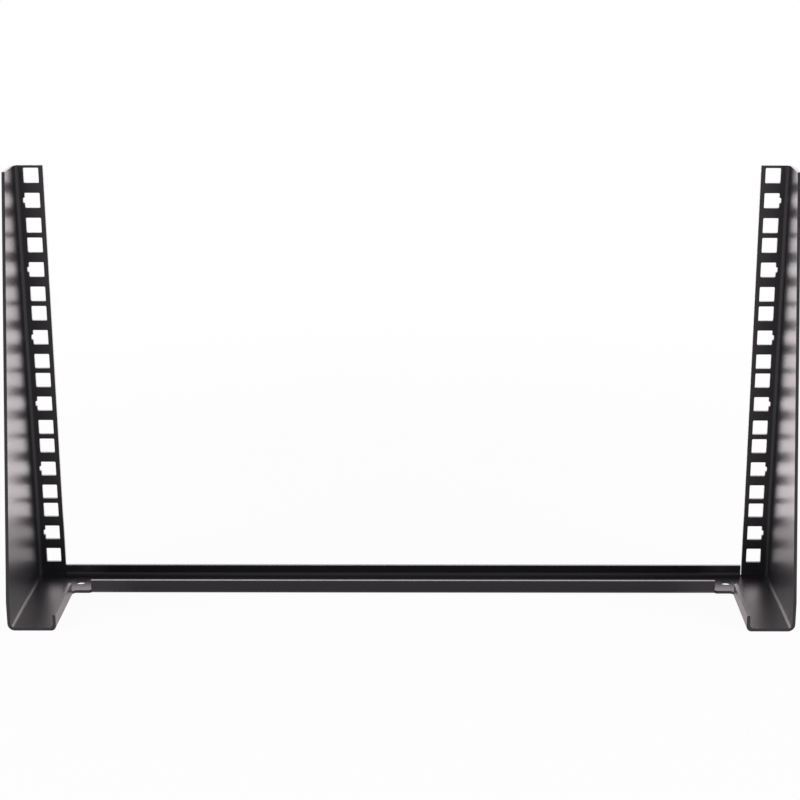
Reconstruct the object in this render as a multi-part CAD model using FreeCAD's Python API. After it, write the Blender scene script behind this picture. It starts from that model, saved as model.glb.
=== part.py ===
import FreeCAD, Part
import math
import os

# Open wall mount rack, six units high, folded from one steel sheet.
# X runs across the rack, Y runs from the viewer to the rails, Z runs up from the floor.
# All sizes are millimetres. The origin is the middle of the footprint, at the underside.

V = FreeCAD.Vector

# Sheet and bends, the bends by their outside radius
SHEET = 2.0
SIDE_BEND = 4.6
LIP_BEND = 3.2

# Rack standard
UNIT = 44.45
UNITS = 6
HOLE_FROM_EDGE = 6.35
HOLE_SPACING = 465.1

# Sides and rails
RAIL_INNER = 7.6
RAIL_WIDTH = 19.85
DEPTH = 90.0
WEB_TOP_DEPTH = 28.0
WEB_FRONT_HEIGHT = 19.0
BASE_CLEAR = 10.2

# Base and its lips
CROSS_LIP = 9.3
SIDE_LIP = 10.4
SIDE_LIP_LENGTH = 53.0
SIDE_FLOOR = 30.2
CROSS_DEPTH = 29.6
EDGE_BACK = 1.4
TAB_WIDTH = 11.2
TAB_CORNER = 2.2
STRIP_CORNER = 3.0
SLOT_WIDTH = 0.6
SLOT_DEPTH = 2.6

# Holes
SQUARE = 9.5
SQUARE_CORNER = 0.6
MARK_DEPTH = 1.1
MARK_HEIGHT = 3.6
MARK_CORNER = 0.9
WALL_HOLE = 7.2
WALL_HOLE_IN = 1.6
WALL_HOLE_FROM_REAR = 14.0

# Places that follow from the sizes
HOLE_STEP = UNIT / 2 - HOLE_FROM_EDGE
HEIGHT = UNITS * UNIT + BASE_CLEAR
X_RAIL = HOLE_SPACING / 2 - RAIL_INNER
X_OUT = X_RAIL + RAIL_WIDTH
X_BEND = X_OUT - SIDE_BEND
X_LIP = X_OUT - SIDE_FLOOR
X_TAB = X_LIP - TAB_WIDTH
Y_REAR = DEPTH / 2
Y_FRONT = -DEPTH / 2
Y_CROSS = Y_REAR - CROSS_DEPTH
Y_TAB = Y_CROSS + EDGE_BACK
Y_LIP_END = Y_FRONT + SIDE_LIP_LENGTH


def rounded_wire(corners, place):
    """Close square corners, each two coordinates and, where it is rounded, a radius."""
    points = [place(*corner[:2]) for corner in corners]
    edges, last, first = [], None, None
    for i, p in enumerate(points):
        r = corners[i][2] if len(corners[i]) > 2 else 0
        back = (points[i - 1] - p).normalize()
        ahead = (points[(i + 1) % len(points)] - p).normalize()
        start, end = p + back * r, p + ahead * r
        if last is not None and last.distanceToPoint(start) > 1e-6:
            edges.append(Part.makeLine(last, start))
        if r:
            middle = p + (back + ahead) * (r * (1 - math.sqrt(0.5)))
            edges.append(Part.Arc(start, middle, end).toShape())
        first = first or start
        last = end
    if last.distanceToPoint(first) > 1e-6:
        edges.append(Part.makeLine(last, first))
    return Part.Wire(edges)


def prism(corners, place, travel):
    """Put the outline in space by the place function and push it along the travel vector."""
    return Part.Face(rounded_wire(corners, place)).extrude(travel)


def from_front(a, b):
    """A point of an outline seen from the front, on the plane of the near edges."""
    return V(a, Y_FRONT, b)


def from_above(a, b):
    """A point of an outline seen from above, on the floor."""
    return V(a, b, 0)


def side_folds():
    """Web with its bend into the base, and rail with its bend into the web."""
    inside, face, inner = X_OUT - SHEET, Y_REAR - SHEET, SIDE_BEND - SHEET
    web = prism([(X_OUT, HEIGHT), (X_OUT, 0, SIDE_BEND), (X_BEND, 0), (X_BEND, SHEET),
                 (inside, SHEET, inner), (inside, HEIGHT)], from_front, V(0, DEPTH, 0))
    bend = Y_REAR - SIDE_BEND
    rail = prism([(X_OUT, bend), (X_OUT, Y_REAR, SIDE_BEND), (X_RAIL, Y_REAR), (X_RAIL, face),
                  (inside, face, inner), (inside, bend)], from_above, V(0, 0, HEIGHT))
    return web.fuse(rail)


def side_shape():
    """The folded side, trimmed to its rounded outside and to the slant of the web."""
    front = prism([(X_RAIL, 0), (X_OUT, 0, SIDE_BEND), (X_OUT, HEIGHT), (X_RAIL, HEIGHT)],
                  from_front, V(0, DEPTH, 0))
    plan = prism([(X_RAIL, Y_FRONT), (X_OUT, Y_FRONT), (X_OUT, Y_REAR, SIDE_BEND), (X_RAIL, Y_REAR)],
                 from_above, V(0, 0, HEIGHT))
    slant = prism([(Y_FRONT, 0), (Y_FRONT, WEB_FRONT_HEIGHT), (Y_REAR - WEB_TOP_DEPTH, HEIGHT),
                   (Y_REAR, HEIGHT), (Y_REAR, 0)], lambda a, b: V(0, a, b), V(X_OUT, 0, 0))
    return side_folds().common(front).common(plan).common(slant).cut(square_cutters())


def square_cutter(z, marked):
    """One square hole, the middle one of each unit with a small notch outboard."""
    half, x, r = SQUARE / 2, HOLE_SPACING / 2, SQUARE_CORNER
    out, tall = x + half + MARK_DEPTH, MARK_HEIGHT / 2
    mark = [(x + half, z - tall), (out, z - tall, MARK_CORNER), (out, z + tall, MARK_CORNER),
            (x + half, z + tall)]
    corners = [(x - half, z + half, r), (x - half, z - half, r), (x + half, z - half, r)]
    corners += (mark if marked else []) + [(x + half, z + half, r)]
    return prism(corners, lambda a, b: V(a, Y_REAR - 2 * SHEET, b), V(0, 3 * SHEET, 0))


def square_cutters():
    """The rack standard's hole column, three to a unit, counted down from the top."""
    cutters = []
    for unit in range(UNITS):
        top = HEIGHT - unit * UNIT - HOLE_FROM_EDGE
        cutters += [square_cutter(top, False), square_cutter(top - HOLE_STEP, True),
                    square_cutter(top - 2 * HOLE_STEP, False)]
    return cutters


def lip(start, inward, travel, height, bend):
    """One upright lip and its bend; start is on its outer face, at the underside."""
    return prism([(bend, 0), (0, 0, bend), (0, height), (SHEET, height), (SHEET, SHEET, bend - SHEET),
                  (bend, SHEET)], lambda a, b: start + inward * a + V(0, 0, b), travel)


def rear_lip(x, length):
    return lip(V(x, Y_REAR, 0), V(0, -1, 0), V(length, 0, 0), CROSS_LIP, SIDE_BEND)


def base_side():
    """Base strip and corner tab of one side, with the side lip and the end of the rear lip."""
    strip, floor, rear = X_LIP + EDGE_BACK, X_LIP + LIP_BEND, Y_REAR - SIDE_BEND
    flat = prism([(X_TAB, Y_TAB, TAB_CORNER), (strip, Y_TAB, STRIP_CORNER), (strip, Y_LIP_END),
                  (floor, Y_LIP_END), (floor, Y_FRONT), (X_BEND, Y_FRONT), (X_BEND, Y_REAR),
                  (X_RAIL, Y_REAR), (X_RAIL, rear), (X_TAB, rear)], from_above, V(0, 0, SHEET))
    hole = Part.makeCylinder(WALL_HOLE / 2, 3 * SHEET,
                             V(X_LIP - WALL_HOLE_IN, Y_REAR - WALL_HOLE_FROM_REAR, -SHEET))
    side_lip = lip(V(X_LIP, Y_FRONT, 0), V(1, 0, 0), V(0, SIDE_LIP_LENGTH, 0), SIDE_LIP, LIP_BEND)
    return flat.cut(hole).fuse([side_lip, rear_lip(X_TAB, X_RAIL - X_TAB)])


def channel():
    """The base between the tabs, with the front lip and the rear lip."""
    width = 2 * X_TAB
    flat = Part.makeBox(width, CROSS_DEPTH - LIP_BEND - SIDE_BEND, SHEET, V(-X_TAB, Y_CROSS + LIP_BEND, 0))
    front = lip(V(-X_TAB, Y_CROSS, 0), V(0, 1, 0), V(width, 0, 0), CROSS_LIP, LIP_BEND)
    return flat.fuse([front, rear_lip(-X_TAB, width)])


def rack_frame():
    """The whole sheet; the rear lip is slit beside the right rail and closed beside the left one."""
    side = side_shape().fuse(base_side())
    slot = Part.makeBox(SLOT_WIDTH, SLOT_DEPTH, CROSS_LIP, V(X_RAIL - SLOT_WIDTH, Y_REAR - SLOT_DEPTH, 0))
    left = side.mirror(V(0, 0, 0), V(1, 0, 0))
    whole = channel().fuse([side, left]).cut(slot).removeSplitter()
    return whole.Solids[0] if len(whole.Solids) == 1 else whole


os.makedirs("parts", exist_ok=True)
frame = rack_frame()
frame.exportStep("parts/rack_frame.step")
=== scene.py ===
import bpy, bmesh, math
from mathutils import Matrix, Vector


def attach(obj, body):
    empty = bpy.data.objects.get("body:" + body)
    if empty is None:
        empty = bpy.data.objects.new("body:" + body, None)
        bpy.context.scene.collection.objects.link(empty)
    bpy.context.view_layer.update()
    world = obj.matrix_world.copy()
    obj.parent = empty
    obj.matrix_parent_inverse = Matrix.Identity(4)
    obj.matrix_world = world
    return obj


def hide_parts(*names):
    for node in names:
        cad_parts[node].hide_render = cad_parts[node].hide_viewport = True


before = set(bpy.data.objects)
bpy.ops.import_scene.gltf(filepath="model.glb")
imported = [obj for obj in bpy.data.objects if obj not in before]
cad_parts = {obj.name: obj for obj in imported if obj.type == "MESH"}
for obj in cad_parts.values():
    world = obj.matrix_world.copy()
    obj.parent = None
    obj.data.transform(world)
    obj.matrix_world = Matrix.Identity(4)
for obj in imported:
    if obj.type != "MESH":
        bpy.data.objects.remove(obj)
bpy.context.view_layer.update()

MM = 0.001

# Cut edges of the sheet, rounded as the coat rounds them
EDGE_MM = 0.3
EDGE_STEPS = 3
SHARP_ANGLE = math.radians(40)

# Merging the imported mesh's loose triangles into the sheet's real faces
MERGE_MM = 0.001
FLAT_ANGLE = math.radians(0.5)

# The two round holes for the wall screws, in millimetres
WALL_HOLE_R = 3.6
WALL_HOLE_X = 213.0
WALL_HOLE_Y = 31.0
RIM_CUTS = 3
RIM_OFF_MM = 0.02
RIM_TILT_MM = 0.01

# Powder coat: its shades, size and depth of the orange peel, size of the patches of spray
COAT_DEEP = "#15161a"
COAT_PALE = "#1a1b1f"
PEEL_MM = 1.6
PEEL_DEPTH_MM = 0.03
DRIFT_MM = 60

# Studio paper, in metres from the middle of the rack: hue, lit share and the dimmer bay with its painted
# shade, as mirrored
PAPER = "#f4f4f4"
WHITE = "#ffffff"
CAST = "#fff5f8"
FLOOR_RADIUS = 1.0
FLOOR_SIDES = 96
SHADOW_SHARE = 0.06
SHADOW_FADE = (0.35, 0.8)
BAY_EDGE = (0.17, 0.20)
PAINTED_BAY_SHADE = 0.55

# Studio room: its light on matt surfaces, and the dark ceiling that the coat mirrors
ROOM_LIGHT = 0.35
CEILING = 0.2
CEILING_EDGE = (0.25, 0.65)

# Camera, fitted to the square holes in the photo, for a square picture
FRAME_PX = 800
SENSOR_MM = 36.0
FOCAL_PX = 1867.73
CENTRE_PX = 431.14
EYE_MM = (21.842, -1119.610, 463.763)
LOOK_DOWN = 16.290
LOOK_RIGHT = -0.170
CLIP = (0.05, 20)


def linear(code):
    """sRGB hex to the linear colour that the nodes take."""
    parts = [int(code[i:i + 2], 16) / 255 for i in (1, 3, 5)]
    return [c / 12.92 if c <= 0.04045 else ((c + 0.055) / 1.055) ** 2.4 for c in parts] + [1.0]


def add(tree, kind, inputs=None, **settings):
    """One node with its settings; inputs are values, colours or other nodes' sockets."""
    node = tree.nodes.new(kind)
    for name, value in settings.items():
        setattr(node, name, value)
    for name, value in (inputs or {}).items():
        socket = node.inputs[name]
        if isinstance(value, bpy.types.NodeSocket):
            tree.links.new(value, socket)
        else:
            socket.default_value = value
    return node


def material(name):
    """An empty material and its node tree."""
    made = bpy.data.materials.new(name)
    made.use_nodes = True
    made.node_tree.nodes.clear()
    return made, made.node_tree


def powder_coat():
    """Polyester powder coat, satin black, sprayed and baked on steel.

    The baked film is near black face on and mirrors pale surroundings strongly
    at a slant, softly blurred by its orange peel."""
    made, tree = material("satin black powder coat")
    place = add(tree, "ShaderNodeTexCoord").outputs["Object"]
    # Orange peel: the fine unevenness that takes the edge off each reflection
    peel = add(tree, "ShaderNodeTexNoise", {"Vector": place, "Scale": 1 / (PEEL_MM * MM), "Detail": 2.0,
                                           "Roughness": 0.5}).outputs["Fac"]
    rough = add(tree, "ShaderNodeMapRange", {"Value": peel, "From Min": 0.3, "From Max": 0.7,
                                            "To Min": 0.41, "To Max": 0.45}).outputs["Result"]
    bump = add(tree, "ShaderNodeBump", {"Height": peel, "Strength": 0.2,
                                        "Distance": PEEL_DEPTH_MM * MM}).outputs["Normal"]
    # Spraying leaves the film a little thicker in places, where it is a shade deeper
    drift = add(tree, "ShaderNodeTexNoise", {"Vector": place, "Scale": 1 / (DRIFT_MM * MM),
                                            "Detail": 3.0}).outputs["Fac"]
    tone = add(tree, "ShaderNodeMix", {"Factor": drift, "A": linear(COAT_DEEP), "B": linear(COAT_PALE)},
               data_type="RGBA").outputs["Result"]
    # Pigmented body under a skin of clear resin, which gives most of the gloss
    coat = add(tree, "ShaderNodeBsdfPrincipled", {"Base Color": tone, "Roughness": rough,
                                                  "IOR": 1.22, "Coat Weight": 0.76, "Coat Roughness": 0.32,
                                                  "Coat IOR": 1.5, "Normal": bump, "Coat Normal": bump})
    add(tree, "ShaderNodeOutputMaterial", {"Surface": coat.outputs["BSDF"]})
    return made


def white_paper(name):
    """Seamless white studio paper, matt, seen as pure white and keeping a faint shadow.

    The coat mirrors it as it was lit, with painted shade: white round about and dimmer within the bay, where
    the rack would shade it, with the faint rosy cast of the photo."""
    made, tree = material(name)
    place = add(tree, "ShaderNodeTexCoord").outputs["Object"]
    away = add(tree, "ShaderNodeVectorMath", {0: place}, operation="LENGTH").outputs["Value"]
    # Painted shade: in reflections the paper glows dimmer within the bay, standing in for the rack's shade on
    # it
    mirrored = add(tree, "ShaderNodeMapRange", {"Value": away, "From Min": BAY_EDGE[0],
                                               "From Max": BAY_EDGE[1], "To Min": PAINTED_BAY_SHADE, "To Max": 1.0},
                   interpolation_type="SMOOTHSTEP").outputs["Result"]
    ray = add(tree, "ShaderNodeLightPath").outputs
    direct = add(tree, "ShaderNodeMath", {0: ray["Is Camera Ray"], 1: ray["Is Transmission Ray"]},
                 operation="MAXIMUM").outputs[0]
    seen = add(tree, "ShaderNodeMath", {0: direct, 1: ray["Is Glossy Ray"]}, operation="MAXIMUM").outputs[0]
    strength = add(tree, "ShaderNodeMath", {0: direct, 1: mirrored}, operation="MAXIMUM").outputs[0]
    cover = add(tree, "ShaderNodeMapRange", {"Value": away, "From Min": SHADOW_FADE[0],
                                            "From Max": SHADOW_FADE[1], "To Min": 1 - SHADOW_SHARE,
                                            "To Max": 1.0}).outputs["Result"]
    share = add(tree, "ShaderNodeMath", {0: seen, 1: cover}, operation="MULTIPLY").outputs[0]
    matt = add(tree, "ShaderNodeBsdfDiffuse", {"Color": linear(PAPER)})
    hue = add(tree, "ShaderNodeMix", {"Factor": direct, "A": linear(CAST), "B": linear(WHITE)},
              data_type="RGBA").outputs["Result"]
    glow = add(tree, "ShaderNodeEmission", {"Color": hue, "Strength": strength})
    mix = add(tree, "ShaderNodeMixShader", {"Fac": share, 1: matt.outputs[0], 2: glow.outputs[0]})
    add(tree, "ShaderNodeOutputMaterial", {"Surface": mix.outputs[0]})
    return made


def on_rim(edge, centre):
    """Whether an edge runs along the rim of the wall hole round centre."""
    ends = edge.verts
    off = max(abs((end.co.xy - centre).length - WALL_HOLE_R * MM) for end in ends)
    return off <= RIM_OFF_MM * MM and abs(ends[0].co.z - ends[1].co.z) < RIM_TILT_MM * MM


def round_wall_holes(bm):
    """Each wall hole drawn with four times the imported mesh's corners."""
    for side in (-1, 1):
        centre = Vector((side * WALL_HOLE_X, WALL_HOLE_Y)) * MM
        rim = [e for e in bm.edges if on_rim(e, centre)]
        made = bmesh.ops.subdivide_edges(bm, edges=rim, cuts=RIM_CUTS, use_grid_fill=True)
        for vert in (v for v in made["geom_inner"] if isinstance(v, bmesh.types.BMVert)):
            out = vert.co.xy - centre
            vert.co.xy = centre + out.normalized() * WALL_HOLE_R * MM


def soften_edges(node, name):
    """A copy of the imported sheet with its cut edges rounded, standing in for the node."""
    bm = bmesh.new()
    bm.from_mesh(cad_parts[node].data)
    bmesh.ops.remove_doubles(bm, verts=bm.verts, dist=MERGE_MM * MM)
    bmesh.ops.dissolve_limit(bm, angle_limit=FLAT_ANGLE, verts=bm.verts, edges=bm.edges)
    round_wall_holes(bm)
    sharp = [e for e in bm.edges if len(e.link_faces) == 2 and e.calc_face_angle() > SHARP_ANGLE]
    bmesh.ops.bevel(bm, geom=sharp, offset=EDGE_MM * MM, offset_type="OFFSET", segments=EDGE_STEPS,
                    profile=0.5, affect="EDGES", clamp_overlap=True, material=-1)
    for face in bm.faces:
        face.smooth = True
    mesh = bpy.data.meshes.new(name)
    bm.to_mesh(mesh)
    bm.free()
    piece = bpy.data.objects.new(name, mesh)
    bpy.context.scene.collection.objects.link(piece)
    weigh = piece.modifiers.new("even flats", "WEIGHTED_NORMAL")
    weigh.keep_sharp = True
    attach(piece, "root")
    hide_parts(node)
    return piece


def floor_disc():
    """The sheet of paper that the rack stands on."""
    bm = bmesh.new()
    bmesh.ops.create_circle(bm, cap_ends=True, segments=FLOOR_SIDES, radius=FLOOR_RADIUS)
    mesh = bpy.data.meshes.new("studio_floor")
    bm.to_mesh(mesh)
    bm.free()
    floor = bpy.data.objects.new("studio_floor", mesh)
    floor.data.materials.append(white_paper("matt white paper"))
    bpy.context.scene.collection.objects.link(floor)


def studio_world():
    """White all round for the camera; in reflections the ceiling is dark."""
    world = bpy.data.worlds.new("white studio")
    bpy.context.scene.world = world
    world.use_nodes = True
    tree = world.node_tree
    tree.nodes.clear()
    way = add(tree, "ShaderNodeTexCoord").outputs["Generated"]
    height = add(tree, "ShaderNodeSeparateXYZ", {"Vector": way}).outputs["Z"]
    mirrored = add(tree, "ShaderNodeMapRange", {"Value": height, "From Min": CEILING_EDGE[0],
                                               "From Max": CEILING_EDGE[1], "To Min": 1.0, "To Max": CEILING},
                   interpolation_type="SMOOTHSTEP").outputs["Result"]
    ray = add(tree, "ShaderNodeLightPath").outputs
    light = add(tree, "ShaderNodeMix", {"Factor": ray["Is Glossy Ray"], "A": ROOM_LIGHT, "B": mirrored},
                data_type="FLOAT").outputs["Result"]
    direct = add(tree, "ShaderNodeMath", {0: ray["Is Camera Ray"], 1: ray["Is Transmission Ray"]},
                 operation="MAXIMUM").outputs[0]
    strength = add(tree, "ShaderNodeMath", {0: light, 1: direct}, operation="MAXIMUM").outputs[0]
    hue = add(tree, "ShaderNodeMix", {"Factor": direct, "A": linear(CAST), "B": linear(WHITE)},
              data_type="RGBA").outputs["Result"]
    back = add(tree, "ShaderNodeBackground", {"Color": hue, "Strength": strength})
    add(tree, "ShaderNodeOutputWorld", {"Surface": back.outputs[0]})


def softbox(name, place, aim, size, watts):
    """A rectangular lamp in metres, turned to the point it aims at and unseen by the camera."""
    lamp = bpy.data.lights.new(name, "AREA")
    lamp.shape = "RECTANGLE"
    lamp.size, lamp.size_y = size
    lamp.energy = watts
    box = bpy.data.objects.new(name, lamp)
    box.location = place
    box.rotation_euler = (Vector(aim) - Vector(place)).to_track_quat("-Z", "Y").to_euler()
    box.visible_camera = False
    bpy.context.scene.collection.objects.link(box)
    return box


def camera():
    """Looks across the rack and 16 degrees down, as photographed."""
    eye = bpy.data.cameras.new("photo_camera")
    eye.sensor_width = SENSOR_MM
    eye.lens = FOCAL_PX * SENSOR_MM / FRAME_PX
    eye.shift_x = (FRAME_PX / 2 - CENTRE_PX) / FRAME_PX
    eye.clip_start, eye.clip_end = CLIP
    holder = bpy.data.objects.new("photo_camera", eye)
    holder.location = [c * MM for c in EYE_MM]
    holder.rotation_euler = (math.radians(90 - LOOK_DOWN), 0, math.radians(-LOOK_RIGHT))
    bpy.context.scene.collection.objects.link(holder)
    bpy.context.scene.camera = holder


bpy.context.scene.view_settings.view_transform = "Standard"
steel = soften_edges("rack_frame", "coated_frame")
steel.data.materials.clear()
steel.data.materials.append(powder_coat())
floor_disc()
studio_world()
softbox("left_softbox", (-1.5, -0.6, 1.2), (0, 0, 0.1), (1.0, 1.0), 18)
softbox("right_softbox", (1.5, -0.6, 1.2), (0, 0, 0.1), (1.0, 1.0), 18)
# The brightly lit paper behind the rack, which only the coat mirrors
panel = softbox("back_panel", (0.0, 0.158, 0.25), (0, 0, 0.25), (1.4, 0.5), 4.2)
panel.data.color = linear(CAST)[:3]
panel.visible_diffuse = False
camera()
